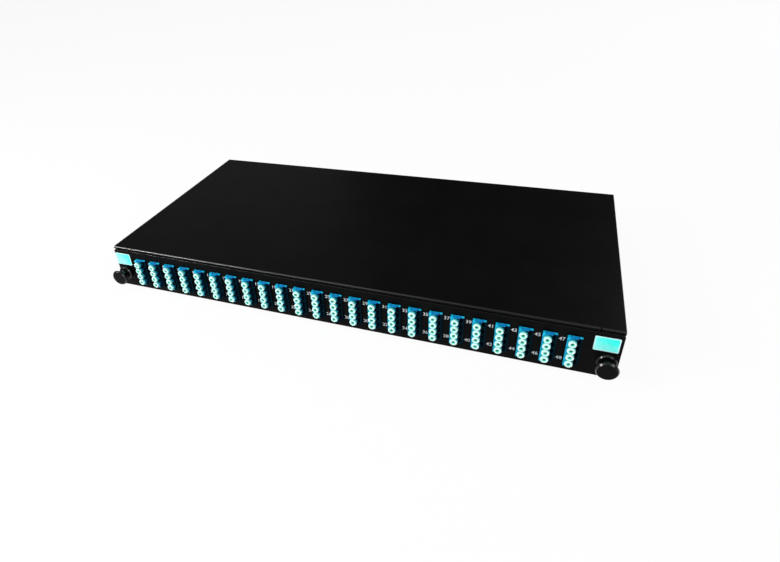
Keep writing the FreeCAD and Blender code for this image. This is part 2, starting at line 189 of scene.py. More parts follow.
# Labels and numbers
LABEL_CORNER = 0.7
LABEL_CORNER_STEPS = 5
LABEL_BORDER = 0.75
NUMBER_SIZE = 4.3
NUMBER_STRETCH = 1.06
NUMBER_BOLDNESS = 0.03
NUMBER_RAISE = 0.02
NUMBER_CURVE_STEPS = 3
NUMBER_TOUCH = 0.0005
UPPER_NUMBER_RISE = 8.7
LOWER_NUMBER_DROP = 9.4

# Latches: the fixed collar and its sleeve, then the plunger
COLLAR_LENGTH = 3.5
COLLAR_CHAMFER_DEPTH = 1.0
COLLAR_CHAMFER_WIDTH = 0.75
COLLAR_BORE = 4.6
COLLAR_BORE_DEPTH = 0.9
COLLAR_BORE_ROUND = 0.2
TUBE_RADIUS = 2.9
TUBE_ROUND = 0.3
PIN_RADIUS = 1.6
PIN_ROUND = 0.4
PIN_PLAY = 0.3
NECK_RADIUS = 4.0
NECK_GAP = 0.3
NECK_ROUND = 0.2
KNOB_LENGTH = 3.0
KNOB_CHAMFER_DEPTH = 1.2
KNOB_CHAMFER_WIDTH = 0.95
KNOB_DOME = 0.15
KNOB_ROOT = 0.8
LATCH_EDGE = 0.15
LATCH_SEGMENTS = 64

# Splice trays and fibre guides
SPLICE_EDGE = 0.3
SPLICE_WALL = 1.6
SPLICE_CORNER = 10.0
SPLICE_SINK = 0.2
HUB_RADIUS = 20.0
HUB_HEIGHT = 8.0
HUB_SPACING = 110.0
HUB_RIM = 1.8
HUB_RIM_ROUND = 0.6
HUB_DISH = 1.5
HUB_DISH_ROUND = 0.3
HUB_SEGMENTS = 64
RIB_COUNT = 6
RIB_WIDTH = 1.6
RIB_PITCH = 4.4
RIB_LENGTH = 44.0
RIB_HEIGHT = 7.0
CLIP_EDGE = 0.45

# Cover screws: places from the middle, and the crown of the head as shares of its radius, with heights
SIDE_SCREW_Y = 60.0
REAR_SCREW_X = 150.0
SCREW_HEAD_RADIUS = 2.75
SCREW_RAISE = 0.28
SCREW_CROWN = ((1.0, 0.02), (0.97, 0.10), (0.85, 0.19), (0.70, SCREW_RAISE))
SCREW_SHANK_RADIUS = 1.5
SCREW_LENGTH = 3.4
SCREW_SEGMENTS = 64
DRIVE_REACH = 1.55
DRIVE_HALF_ARM = 0.36
DRIVE_RIM = 0.02
DRIVE_DEPTH = 0.9
DRIVE_TAPER = 0.62
DRIVE_POINT = 0.2

# Studs and nuts
STUD_SEGMENTS = 24
THREAD_PITCH = 0.7
THREAD_DEPTH = 0.24
THREAD_BITE = 0.1
NUT_TEETH = 28
NUT_TOOTH_STEPS = 4
NUT_TOOTH_DEPTH = 0.16
NUT_FOOT_WIDTH = 0.5
NUT_FOOT_DEPTH = 0.4
NUT_CROWN_WIDTH = 0.6
NUT_CROWN_DEPTH = 0.5


# Mesh tools

def corners(node):
    """The lowest and highest corners of a solid, in millimetres."""
    low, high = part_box(node)
    return Vector(low) / MM, Vector(high) / MM


def scale(mesh_data, factor):
    """Scale a mesh about the origin."""
    bmesh.ops.scale(mesh_data, vec=(factor, factor, factor), verts=mesh_data.verts)


def merge_points(mesh_data, distance=TOUCH):
    """Join points that touch."""
    bmesh.ops.remove_doubles(mesh_data, verts=mesh_data.verts, dist=distance)


def merge_flat_faces(mesh_data):
    """Join faces that lie in one plane."""
    bmesh.ops.dissolve_limit(
        mesh_data,
        angle_limit=FLAT_ANGLE,
        verts=mesh_data.verts,
        edges=mesh_data.edges,
    )


def piece(name, mesh_data, materials, body, replaced=()):
    """Place a mesh made in millimetres as a piece that rides on a body and stands for some solids."""
    scale(mesh_data, MM)
    mesh = bpy.data.meshes.new(name)
    mesh_data.to_mesh(mesh)
    mesh_data.free()
    for material in materials:
        mesh.materials.append(material)
    mesh.polygons.foreach_set("use_smooth", [True] * len(mesh.polygons))
    mesh.set_sharp_from_angle(angle=SMOOTH_ANGLE)
    placed = bpy.data.objects.new(name, mesh)
    bpy.context.scene.collection.objects.link(placed)
    weighted = placed.modifiers.new("flat_faces_first", "WEIGHTED_NORMAL")
    weighted.keep_sharp = True
    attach(placed, body)
    if replaced:
        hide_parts(*replaced)


def round_edges(mesh_data, edges, radius, steps, clamp=False, finish_index=SAME_FINISH):
    """Round some edges. The new faces take their neighbours' material, or the one given."""
    bmesh.ops.bevel(
        mesh_data,
        geom=edges,
        offset=radius,
        segments=steps,
        profile=EDGE_PROFILE,
        affect="EDGES",
        clamp_overlap=clamp,
        material=finish_index,
    )


def soften(mesh_data, radius, finish_index=SAME_FINISH):
    """Round all the sharp edges of a mesh a little."""
    sharp = []
    for edge in mesh_data.edges:
        if edge.is_manifold and edge.calc_face_angle() > SMOOTH_ANGLE:
            sharp.append(edge)
    round_edges(mesh_data, sharp, radius, EDGE_STEPS, True, finish_index)


def dressed(node, name, material, body, radius, edge_material=None):
    """A copy of a solid with rounded edges and smooth bends, which stands for it."""
    mesh_data = bmesh.new()
    mesh_data.from_mesh(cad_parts[node].data)
    scale(mesh_data, 1 / MM)
    merge_points(mesh_data)
    merge_flat_faces(mesh_data)
    soften(mesh_data, radius, EDGE_FINISH if edge_material else SAME_FINISH)
    materials = [material, edge_material] if edge_material else [material]
    piece(name, mesh_data, materials, body, [node])


def block(x0, x1, y0, y1, z0, z1):
    """A box as a pair of corners."""
    return (x0, y0, z0), (x1, y1, z1)


def carved(adds, cuts=()):
    """The surface of a union of boxes less other boxes.

    The planes of all the boxes divide space into cells, and a filled cell gets a face on each side
    where the next cell is empty.
    """
    def holds(box, point):
        return all(box[0][axis] < point[axis] < box[1][axis] for axis in range(3))

    boxes = [*adds, *cuts]
    planes = []
    for axis in range(3):
        planes.append(sorted({round(corner[axis], PLANE_DIGITS) for box in boxes for corner in box}))
    middles = [[(a + b) / 2 for a, b in zip(line, line[1:])] for line in planes]
    filled = set()
    for cell in itertools.product(*(range(len(line)) for line in middles)):
        point = [middles[axis][cell[axis]] for axis in range(3)]
        if any(holds(box, point) for box in adds) and not any(holds(box, point) for box in cuts):
            filled.add(cell)
    mesh_data = bmesh.new()
    found = {}
    for cell in sorted(filled):
        for axis, step in itertools.product(range(3), (0, 1)):
            beyond = list(cell)
            beyond[axis] += 2 * step - 1
            if tuple(beyond) in filled:
                continue
            across, along = [other for other in range(3) if other != axis]
            loop = []
            for u, v in ((0, 0), (1, 0), (1, 1), (0, 1)):
                key = list(cell)
                key[axis] += step
                key[across] += u
                key[along] += v
                key = tuple(key)
                if key not in found:
                    found[key] = mesh_data.verts.new([planes[a][key[a]] for a in range(3)])
                loop.append(found[key])
            mesh_data.faces.new(loop)
    bmesh.ops.recalc_face_normals(mesh_data, faces=mesh_data.faces)
    return mesh_data


def rounded(path):
    """The profile of a path of radius, distance and corner radius, with its corners rounded."""
    points = []
    for index, (radius, distance, bend) in enumerate(path):
        here = Vector((radius, distance))
        if bend == 0:
            points.append(here)
            continue
        before = (Vector(path[index - 1][:2]) - here).normalized()
        after = (Vector(path[index + 1][:2]) - here).normalized()
        half = before.angle(after) / 2
        centre = here + (before + after).normalized() * (bend / math.sin(half))
        first = here + before * (bend / math.tan(half)) - centre
        last = here + after * (bend / math.tan(half)) - centre
        for step in range(CORNER_STEPS + 1):
            points.append(centre + first.lerp(last, step / CORNER_STEPS).normalized() * bend)
    return points


def lathe(mesh_data, profile, start, direction, segments, finish_indices=None):
    """Turn a profile of radius and distance round an axis. A radius may be a function of the angle."""
    turn = UPWARD.rotation_difference(direction)
    rings = []
    for radius, distance in profile:
        ring = []
        for side in range(segments if callable(radius) or radius > 0 else 1):
            angle = 2 * math.pi * side / segments
            reach = radius(angle) if callable(radius) else radius
            spot = Vector((reach * math.cos(angle), reach * math.sin(angle), distance))
            ring.append(mesh_data.verts.new(start + turn @ spot))
        rings.append(ring)
    for step, (near, far) in enumerate(zip(rings, rings[1:])):
        for side in range(segments):
            after = (side + 1) % segments
            loop = [
                near[side % len(near)],
                near[after % len(near)],
                far[after % len(far)],
                far[side % len(far)],
            ]
            face = mesh_data.faces.new(list(dict.fromkeys(loop)))
            if finish_indices:
                face.material_index = finish_indices[step]
    bmesh.ops.recalc_face_normals(mesh_data, faces=mesh_data.faces)


def add_mesh(mesh_data, other):
    """Add another mesh's faces to a mesh, and free it."""
    spare = bpy.data.meshes.new("spare")
    other.to_mesh(spare)
    other.free()
    mesh_data.from_mesh(spare)
    bpy.data.meshes.remove(spare)


# Material tools

def new_material(name):
    """A material with a principled shader, and its node tree and shader."""
    material = bpy.data.materials.new(name)
    material.use_nodes = True
    return material, material.node_tree, material.node_tree.nodes["Principled BSDF"]


def shader_node(tree, kind, inputs=None, **settings):
    """Add a shader node, with its settings and its input values or links."""
    made = tree.nodes.new("ShaderNode" + kind)
    for name, value in settings.items():
        setattr(made, name, value)
    for name, value in (inputs or {}).items():
        if isinstance(value, bpy.types.NodeSocket):
            tree.links.new(value, made.inputs[name])
        else:
            made.inputs[name].default_value = value
    return made


def maths(tree, operation, *values, clamp=False):
    """The result of an operation on numbers and sockets."""
    inputs = dict(enumerate(values))
    return shader_node(tree, "Math", inputs, operation=operation, use_clamp=clamp).outputs[0]


def noise(tree, place, grain, detail=3.0):
    """Noise whose grain is a length in millimetres."""
    inputs = {"Vector": place, "Scale": 1 / (grain * MM), "Detail": detail}
    return shader_node(tree, "TexNoise", inputs).outputs["Fac"]


def colour_ramp(tree, factor, stops):
    """A colour that follows a factor through stops, each of them a position and a colour."""
    ramp = shader_node(tree, "ValToRGB", {"Fac": factor})
    marks = ramp.color_ramp.elements
    for mark, (position, colour) in zip(marks, (stops[0], stops[-1])):
        mark.position = position
        mark.color = (*colour, 1)
    for position, colour in stops[1:-1]:
        marks.new(position).color = (*colour, 1)
    return ramp.outputs["Color"]


def map_range(tree, factor, low, high, to_low, to_high):
    """A number that goes from one to another as a factor goes from low to high."""
    ends = {"From Min": low, "From Max": high, "To Min": to_low, "To Max": to_high}
    return shader_node(tree, "MapRange", {"Value": factor, **ends}).outputs["Result"]


def texture(tree, shader, place, rough, grain, relief=0):
    """Let the roughness and the relief of a surface follow a fine grain."""
    fine = noise(tree, place, grain)
    roughness = map_range(tree, fine, NOISE_LOW, NOISE_HIGH, *rough)
    tree.links.new(roughness, shader.inputs["Roughness"])
    if relief:
        bump = shader_node(tree, "Bump", {"Height": fine, "Strength": 1.0, "Distance": relief * MM})
        tree.links.new(bump.outputs["Normal"], shader.inputs["Normal"])


def finish(name, dark, light, rough, grain, relief, cloud=40.0, **values):
    """A finish whose colour drifts slowly, and whose gloss and relief follow a fine grain.

    dark and light are the ends of the colour's drift and cloud is its width, rough the ends of the
    roughness, grain and relief the width and height of the surface's texture, and values are other
    settings of the shader.
    """
    material, tree, shader = new_material(name)
    place = shader_node(tree, "TexCoord").outputs["Object"]
    drift = noise(tree, place, cloud)
    colour = colour_ramp(tree, drift, [(DRIFT_LOW, dark), (DRIFT_HIGH, light)])
    tree.links.new(colour, shader.inputs["Base Color"])
    texture(tree, shader, place, rough, grain, relief)
    for key, value in values.items():
        shader.inputs[key.replace("_", " ")].default_value = value
    return material


# Materials

def powder_coat(name, rough, specular):
    """Black powder coat with a fine orange peel."""
    return finish(
        name,
        dark=(0.0011, 0.0011, 0.0012),
        light=(0.0020, 0.0020, 0.0020),
        rough=rough,
        grain=0.9,
        relief=0.005,
        Specular_IOR_Level=specular,
    )


def zinc_steel():
    """Zinc-plated steel of the slides."""
    return finish(
        "zinc_steel",
        dark=(0.42, 0.43, 0.44),
        light=(0.56, 0.57, 0.58),
        rough=(0.28, 0.4),
        grain=0.5,
        relief=0.004,
        Metallic=1.0,
    )


def fastener_steel():
    """Blackened steel of the screws and studs."""
    return finish(
        "fastener_steel",
        dark=(0.05, 0.05, 0.052),
        light=(0.09, 0.09, 0.09),
        rough=(0.3, 0.42),
        grain=0.3,
        relief=0.003,
        Metallic=1.0,
    )


def rubber():
    """Black rubber of the cable frames."""
    return finish(
        "rubber",
        dark=(0.008, 0.008, 0.008),
        light=(0.016, 0.016, 0.016),
        rough=(0.62, 0.78),
        grain=0.5,
        relief=0.02,
    )


def adapter_blue():
    """Bright blue moulded plastic of the adapters, with a random drift in tone and painted shade that
    deepens towards the key side.
    """
    bright = (0.006, 0.34, 0.74)
    key_side_shade = (0.002, 0.19, 0.50)
    cloud = 9.0
    cloud_weight = 0.4
    material, tree, shader = new_material("adapter_blue")
    coordinates = shader_node(tree, "TexCoord").outputs
    across = shader_node(tree, "SeparateXYZ", {"Vector": coordinates["Generated"]}).outputs["X"]
    drift = noise(tree, coordinates["Object"], cloud)
    # Random drift in tone, plus painted shade that darkens across the adapter towards its key side
    shade = maths(tree, "MULTIPLY_ADD", drift, cloud_weight, across)
    colour = colour_ramp(tree, shade, [(0.2, bright), (1.0, key_side_shade)])
    tree.links.new(colour, shader.inputs["Base Color"])
    texture(tree, shader, coordinates["Object"], rough=(0.3, 0.4), grain=0.4)
    return material


def adapter_rim():
    """Paler blue of the adapters' rims and ears: painted light, a lit copy of the adapters' blue."""
    return finish(
        "adapter_rim",
        dark=(0.003, 0.43, 0.68),
        light=(0.008, 0.52, 0.77),
        rough=(0.3, 0.4),
        grain=0.4,
        relief=0.003,
        cloud=6.0,
        Specular_IOR_Level=0.2,
    )


def adapter_navy():
    """Dark blue of the adapters' key side: painted shade on the same blue plastic."""
    return finish(
        "adapter_navy",
        dark=(0.0003, 0.009, 0.017),
        light=(0.0006, 0.016, 0.028),
        rough=(0.4, 0.5),
        grain=0.4,
        relief=0.003,
        cloud=9.0,
        Specular_IOR_Level=0.02,
    )


def sleeve_ceramic():
    """White ceramic of the alignment sleeves."""
    return finish(
        "sleeve_ceramic",
        dark=(0.72, 0.72, 0.68),
        light=(0.8, 0.8, 0.77),
        rough=(0.2, 0.28),
        grain=0.3,
        relief=0.001,
        cloud=4.0,
    )


def cap_white(tip):
    """Translucent plastic of the dust caps: mint white at the tip, with painted shade and painted
    reflection of the blue adapters along the barrel below it.
    """
    material, tree, shader = new_material("cap_white")
    place = shader_node(tree, "TexCoord").outputs["Object"]
    depth = shader_node(tree, "SeparateXYZ", {"Vector": place}).outputs["Y"]
    barrel_shade = map_range(tree, depth, tip * MM, (tip + CAP_SHADE_LENGTH) * MM, 0, 1)
    # Painted shade and painted reflection of the blue adapters, darkening from the mint white tip along
    # the barrel to navy
    stops = [
        (0, (0.63, 0.92, 0.86)),
        (0.12, (0.59, 0.92, 0.85)),
        (0.26, (0.34, 0.86, 0.77)),
        (0.46, (0.07, 0.64, 0.62)),
        (0.68, (0.008, 0.32, 0.42)),
        (1, (0.002, 0.06, 0.15)),
    ]
    tree.links.new(colour_ramp(tree, barrel_shade, stops), shader.inputs["Base Color"])
    texture(tree, shader, place, rough=(0.34, 0.44), grain=0.5, relief=0.003)
    return material


def cap_hole(name, dark, light):
    """Green of the hole in a dust cap, in the colours given."""
    return finish(name, dark, light, rough=(0.4, 0.5), grain=0.4, relief=0.003, cloud=3.0)


def label_aqua():
    """Aqua film of the labels: pale at the left, with a soft turquoise cloud to the right."""
    pale = (0.31, 0.93, 0.88)
    turquoise = (0.016, 0.92, 0.82)
    cloud = 7.0
    cloud_weight = 1.4
    shade_weight = 0.43
    material, tree, shader = new_material("label_aqua")
    coordinates = shader_node(tree, "TexCoord").outputs
    spot = shader_node(tree, "SeparateXYZ", {"Vector": coordinates["Generated"]}).outputs
    slant = maths(tree, "ADD", spot["X"], spot["Z"])
    drift = noise(tree, coordinates["Object"], cloud, detail=1.0)
    shade = maths(tree, "MULTIPLY_ADD", drift, cloud_weight, slant)
    weighed = maths(tree, "MULTIPLY", shade, shade_weight)
    colour = colour_ramp(tree, weighed, [(0.5, pale), (0.95, turquoise)])
    tree.links.new(colour, shader.inputs["Base Color"])
    texture(tree, shader, coordinates["Object"], rough=(0.24, 0.32), grain=1.2)
    return material


def label_pale():
    """Pale border of the labels."""
    return finish(
        "label_pale",
        dark=(0.50, 0.90, 0.88),
        light=(0.58, 0.92, 0.91),
        rough=(0.24, 0.32),
        grain=1.2,
        relief=0.002,
        cloud=8.0,
    )


def number_ink():
    """White ink of the port numbers."""
    return finish(
        "number_ink",
        dark=(0.62, 0.63, 0.63),
        light=(0.72, 0.73, 0.73),
        rough=(0.5, 0.6),
        grain=0.3,
        relief=0.004,
        cloud=2.0,
    )


def latch_black(name, rough, specular):
    """Black plastic of the latches."""
    return finish(
        name,
        dark=(0.0016, 0.0016, 0.0016),
        light=(0.0032, 0.0032, 0.0032),
        rough=rough,
        grain=0.8,
        relief=0.001,
        Specular_IOR_Level=specular,
    )


def splice_grey():
    """Pale grey plastic of the splice trays."""
    return finish(
        "splice_grey",
        dark=(0.50, 0.52, 0.54),
        light=(0.60, 0.62, 0.63),
        rough=(0.4, 0.5),
        grain=0.6,
        relief=0.005,
    )


def lid_clear():
    """Clear plastic of the splice lids, a little hazy."""
    return finish(
        "lid_clear",
        dark=(0.58, 0.66, 0.70),
        light=(0.66, 0.73, 0.77),
        rough=(0.08, 0.16),
        grain=6.0,
        relief=0.004,
        Alpha=0.3,
    )


def clip_white():
    """White nylon of the fibre guides and nuts."""
    return finish(
        "clip_white",
        dark=(0.68, 0.69, 0.68),
        light=(0.76, 0.77, 0.76),
        rough=(0.42, 0.52),
        grain=0.5,
        relief=0.005,
        cloud=8.0,
    )


# Pieces

def make_sheet_metal(paint, panel_paint, edge_paint, steel):
    """The painted sheets and the slides."""
    for node in ("chassis", "rear_panel", "cable_plate_left", "cable_plate_right"):
        dressed(node, node + "_sheet", paint, "case", SHEET_EDGE)
    for node in ("front_panel", "drawer_tray"):
        dressed(node, node + "_sheet", panel_paint, "drawer", SHEET_EDGE, edge_paint)
    for side in ("left", "right"):
        dressed("outer_rail_" + side, "outer_slide_" + side, steel, "case", SHEET_EDGE)
        dressed("inner_rail_" + side, "inner_slide_" + side, steel, "drawer", SHEET_EDGE)


def make_cover(paint, edge_paint):
    """The lid: a top with rounded folds on all sides, a short front lip and its relief notches."""
    low, high = corners("top_cover")
    chassis_front = corners("chassis")[0].y
    outer = block(low.x, high.x, low.y, high.y, low.z, high.z)
    inner = block(
        low.x + COVER_SHEET,
        high.x - COVER_SHEET,
        low.y + COVER_SHEET,
        high.y - COVER_SHEET,
        low.z - PAST,
        high.z - COVER_SHEET,
    )
    below_lip = block(
        low.x - PAST,
        high.x + PAST,
        low.y - PAST,
        chassis_front,
        low.z - PAST,
        high.z - LIP_DROP,
    )
    cuts = [inner, below_lip]
    for x in (low.x + NOTCH_FROM_END, high.x - NOTCH_FROM_END):
        x_ends = x - NOTCH_WIDTH / 2, x + NOTCH_WIDTH / 2
        cuts.append(block(*x_ends, low.y - PAST, low.y + FOLD_RADIUS, low.z - PAST, high.z + PAST))
    mesh_data = carved([outer], cuts)
    merge_flat_faces(mesh_data)

    def on_front_rim(spot):
        return abs(spot.y - low.y) < TOUCH and high.z - spot.z < TOUCH

    def on_side_rim(spot):
        side = min(abs(spot.x - low.x), abs(spot.x - high.x), abs(spot.y - high.y))
        return side < TOUCH and high.z - spot.z < FOLD_RADIUS + TOUCH

    for on_rim, radius, steps in (
        (on_front_rim, FOLD_RADIUS, FOLD_STEPS),
        (on_side_rim, SIDE_FOLD_RADIUS, SIDE_FOLD_STEPS),
    ):
        rim = [edge for edge in mesh_data.edges if all(on_rim(vertex.co) for vertex in edge.verts)]
        folds = [edge for edge in rim if edge.calc_face_angle() > SMOOTH_ANGLE]
        round_edges(mesh_data, folds, radius, steps)
    soften(mesh_data, SHEET_EDGE)
    for face in mesh_data.faces:
        at_fold = face.calc_center_median().y < low.y + FOLD_RADIUS
        rises = FOLD_LEAST_RISE < face.normal.z < FOLD_MOST_RISE
        if at_fold and rises and face.normal.y < -FOLD_LEAST_LEAN:
            face.material_index = EDGE_FINISH
    piece("top_cover_sheet", mesh_data, [paint, edge_paint], "case", ["top_cover"])


def adapter_cuts(low, high, front, heights):
    """The cuts at each port of an adapter: its latch channel, rear socket and keyway."""
    cap_x = low.x + CAP_FROM_LEFT
    channel_x = cap_x + CHANNEL_FROM_CAP, high.x - KEY_SIDE_WIDTH + CHANNEL_WIDTH
    channel_y = low.y - PAST, front - KEY_SIDE_FACE + CHANNEL_DEPTH
    socket_x = cap_x - SOCKET_WIDTH / 2, cap_x + SOCKET_WIDTH / 2
    keyway_x = socket_x[1] - CUT_OVERLAP, socket_x[1] + KEYWAY_WIDTH
    socket_y = high.y - SOCKET_DEPTH, high.y + PAST
    cuts = []
    for z in heights:
        for x_ends, y_ends, height in (
            (channel_x, channel_y, CHANNEL_HEIGHT),
            (socket_x, socket_y, SOCKET_HEIGHT),
            (keyway_x, socket_y, KEYWAY_HEIGHT),
        ):
            cuts.append(block(*x_ends, *y_ends, z - height / 2, z + height / 2))
    return cuts


def seam_cuts(x0, x1, z0, z1, y):
    """A shallow groove round the body of an adapter."""
    y_ends = y - SEAM_WIDTH / 2, y + SEAM_WIDTH / 2
    return [
        block(x0 - PAST, x0 + SEAM_DEPTH, *y_ends, z0 - PAST, z1 + PAST),
        block(x1 - SEAM_DEPTH, x1 + PAST, *y_ends, z0 - PAST, z1 + PAST),
        block(x0 - PAST, x1 + PAST, *y_ends, z0 - PAST, z0 + SEAM_DEPTH),
        block(x0 - PAST, x1 + PAST, *y_ends, z1 - SEAM_DEPTH, z1 + PAST),
    ]


def fill_valleys(mesh_data, cap_x, heights, seat_y, seat_z):
    """Fill the corners between the round caps of a seat, on both sides of them."""
    reach = CAP_RADIUS + SEAT_PLAY
    span = reach - VALLEY_START

    def rise(across):
        return math.sqrt(max(reach * reach - across * across, 0))

    across_steps = [VALLEY_START + span * step / VALLEY_STEPS for step in range(VALLEY_STEPS + 1)]
    # None stands for an end of the seat, where there is no further cap
    caps = [None, *heights, None]
    for side, (under, over) in itertools.product((-1, 1), zip(caps, caps[1:])):
        lower = []
        upper = []
        for across in across_steps:
            z0 = seat_z[0] if under is None else under + rise(across)
            z1 = seat_z[1] if over is None else over - rise(across)
            if side > 0 and across > CHANNEL_FROM_CAP:
                z0 = z0 if under is None else max(z0, under + CHANNEL_HEIGHT / 2)
                z1 = z1 if over is None else min(z1, over - CHANNEL_HEIGHT / 2)
            lower.append((cap_x + side * across, z0))
            upper.append((cap_x + side * across, z1))
        outline = lower + upper[::-1]
        near = [mesh_data.verts.new((x, seat_y[0], z)) for x, z in outline]
        far = [mesh_data.verts.new((x, seat_y[1], z)) for x, z in outline]
        faces = [mesh_data.faces.new(near), mesh_data.faces.new(far[::-1])]
        for index in range(len(outline)):
            loop = near[index - 1], far[index - 1], far[index], near[index]
            faces.append(mesh_data.faces.new(loop))
        # Valleys on the cap side are painted light, and those on the key side are painted shade
        for face in faces:
            face.material_index = KEY_SIDE_SHADE_FINISH if side > 0 else LIT_RIM_FINISH
        bmesh.ops.recalc_face_normals(mesh_data, faces=faces)


def make_adapter(node, front, materials):
    """One quad adapter: stepped front, seat of the caps, latch channels, seam and rear sockets."""
    low, high = corners(node)
    middle = (low.z + high.z) / 2
    heights = [middle + (row - (CAP_ROWS - 1) / 2) * CAP_PITCH for row in range(CAP_ROWS)]
    cap_x = low.x + CAP_FROM_LEFT
    channel_x = cap_x + CHANNEL_FROM_CAP
    key_x = high.x - KEY_SIDE_WIDTH
    body_x = low.x + BODY_SHOULDER, high.x - BODY_SHOULDER
    body_z = low.z + BODY_SHOULDER, high.z - BODY_SHOULDER
    seat_x = low.x + SEAT_SIDE_RIM, key_x - SEAT_SIDE_RIM + CUT_OVERLAP
    seat_y = low.y, low.y + SEAT_DEPTH
    seat_z = low.z + SEAT_END_RIM, high.z - SEAT_END_RIM
    ear_x = low.x + EAR_WIDTH, high.x - EAR_WIDTH
    ear_z = high.z - EAR_HEIGHT
    adds = [
        block(low.x, key_x, low.y, front, low.z, high.z),
        block(key_x, high.x, front - KEY_SIDE_FACE, front, low.z, high.z),
        block(*body_x, front, high.y, *body_z),
    ]
    cuts = [
        *adapter_cuts(low, high, front, heights),
        *seam_cuts(*body_x, *body_z, front + SEAM_FROM_PANEL),
        block(*seat_x, low.y - PAST, seat_y[1], *seat_z),
        block(*ear_x, low.y - PAST, front, ear_z, high.z + PAST),
    ]
    mesh_data = carved(adds, cuts)
    # Front rims and ears are painted light in paler blue; the key side beside the channels is painted
    # shade in navy
    for face in mesh_data.faces:
        centre = face.calc_center_median()
        at_front = face.normal.y < -ADAPTER_FRONT_LOOK and centre.y < seat_y[1] + MARGIN
        below_ledge = centre.z < seat_z[1]
        on_ear = centre.z > ear_z + MARGIN
        if on_ear or (at_front and below_ledge and centre.x < channel_x):
            face.material_index = LIT_RIM_FINISH
        elif centre.x > channel_x - MARGIN and centre.y < front + CHANNEL_DEPTH and below_ledge:
            face.material_index = KEY_SIDE_SHADE_FINISH
    soften(mesh_data, PLASTIC_EDGE)
    fill_valleys(mesh_data, cap_x, heights, seat_y, seat_z)
    sleeve = [
        (SLEEVE_RADIUS, 0),
        (SLEEVE_RADIUS, SLEEVE_LENGTH),
        (SLEEVE_BORE, SLEEVE_LENGTH),
        (SLEEVE_BORE, 0),
    ]
    sleeve_finish = [CERAMIC_FINISH] * (len(sleeve) - 1)
    for z in heights:
        start = Vector((cap_x, high.y - SOCKET_DEPTH, z))
        lathe(mesh_data, sleeve, start, REARWARD, SLEEVE_SEGMENTS, sleeve_finish)
    piece("quad_" + node, mesh_data, materials, "drawer", [node])


def make_caps(row, adapters, materials):
    """One row of dust caps, with rounded rims and a hole down the middle."""
    node = "dust_caps_row_%d" % row
    low, high = corners(node)
    length = high.y - low.y
    height = (low.z + high.z) / 2
    path = [
        (0, 0, 0),
        (CAP_RADIUS, 0, CAP_BASE_ROUND),
        (CAP_TIP_RADIUS, length, CAP_TIP_ROUND),
        (CAP_HOLE_RADIUS, length, CAP_HOLE_ROUND),
        (CAP_HOLE_FLOOR, length - CAP_HOLE_DEPTH, 0),
        (0, length - CAP_HOLE_DEPTH, 0),
    ]
    profile = rounded(path)
    hole = [HOLE_WALL_FINISH, HOLE_FLOOR_SHADE_FINISH]
    outside = [CAP_FINISH] * (len(profile) - 1 - len(hole))
    mesh_data = bmesh.new()
    for adapter in adapters:
        left = corners(adapter)[0].x
        start = Vector((left + CAP_FROM_LEFT, high.y, height))
        lathe(mesh_data, profile, start, FORWARD, CAP_SEGMENTS, outside + hole)
    piece("port_caps_row_%d" % row, mesh_data, materials, "drawer", [node])


def make_label(side, materials):
    """One sticker with rounded corners and a pale border."""
    node = "label_" + side
    low, high = corners(node)
    outline = []
    for x, z, first in (
        (high.x - LABEL_CORNER, high.z - LABEL_CORNER, 0),
        (low.x + LABEL_CORNER, high.z - LABEL_CORNER, 90),
        (low.x + LABEL_CORNER, low.z + LABEL_CORNER, 180),
        (high.x - LABEL_CORNER, low.z + LABEL_CORNER, 270),
    ):
        for step in range(LABEL_CORNER_STEPS + 1):
            angle = math.radians(first + 90 * step / LABEL_CORNER_STEPS)
            outline.append((x + LABEL_CORNER * math.cos(angle), z + LABEL_CORNER * math.sin(angle)))
    mesh_data = bmesh.new()
    back = mesh_data.faces.new([mesh_data.verts.new((x, high.y, z)) for x, z in outline])
    raised = bmesh.ops.extrude_face_region(mesh_data, geom=[back])["geom"]
    points = [part for part in raised if isinstance(part, bmesh.types.BMVert)]
    front = [part for part in raised if isinstance(part, bmesh.types.BMFace)]
    bmesh.ops.translate(mesh_data, vec=(0, low.y - high.y, 0), verts=points)
    for face in mesh_data.faces:
        face.material_index = BORDER_FINISH
    bmesh.ops.inset_region(mesh_data, faces=front, thickness=LABEL_BORDER)
    front[0].material_index = FILM_FINISH
    bmesh.ops.recalc_face_normals(mesh_data, faces=mesh_data.faces)
    piece("end_label_" + side, mesh_data, materials, "drawer", [node])


def printed(text):
    """The mesh of a short text, lying flat about the origin."""
    curve = bpy.data.curves.new("number", "FONT")
    curve.body = text
    curve.size = NUMBER_SIZE
    curve.align_x = "CENTER"
    curve.align_y = "CENTER"
    curve.extrude = NUMBER_RAISE
    curve.offset = NUMBER_BOLDNESS
    curve.resolution_u = NUMBER_CURVE_STEPS
    holder = bpy.data.objects.new("number", curve)
    mesh = bpy.data.meshes.new_from_object(holder)
    bpy.data.objects.remove(holder)
    bpy.data.curves.remove(curve)
    return mesh


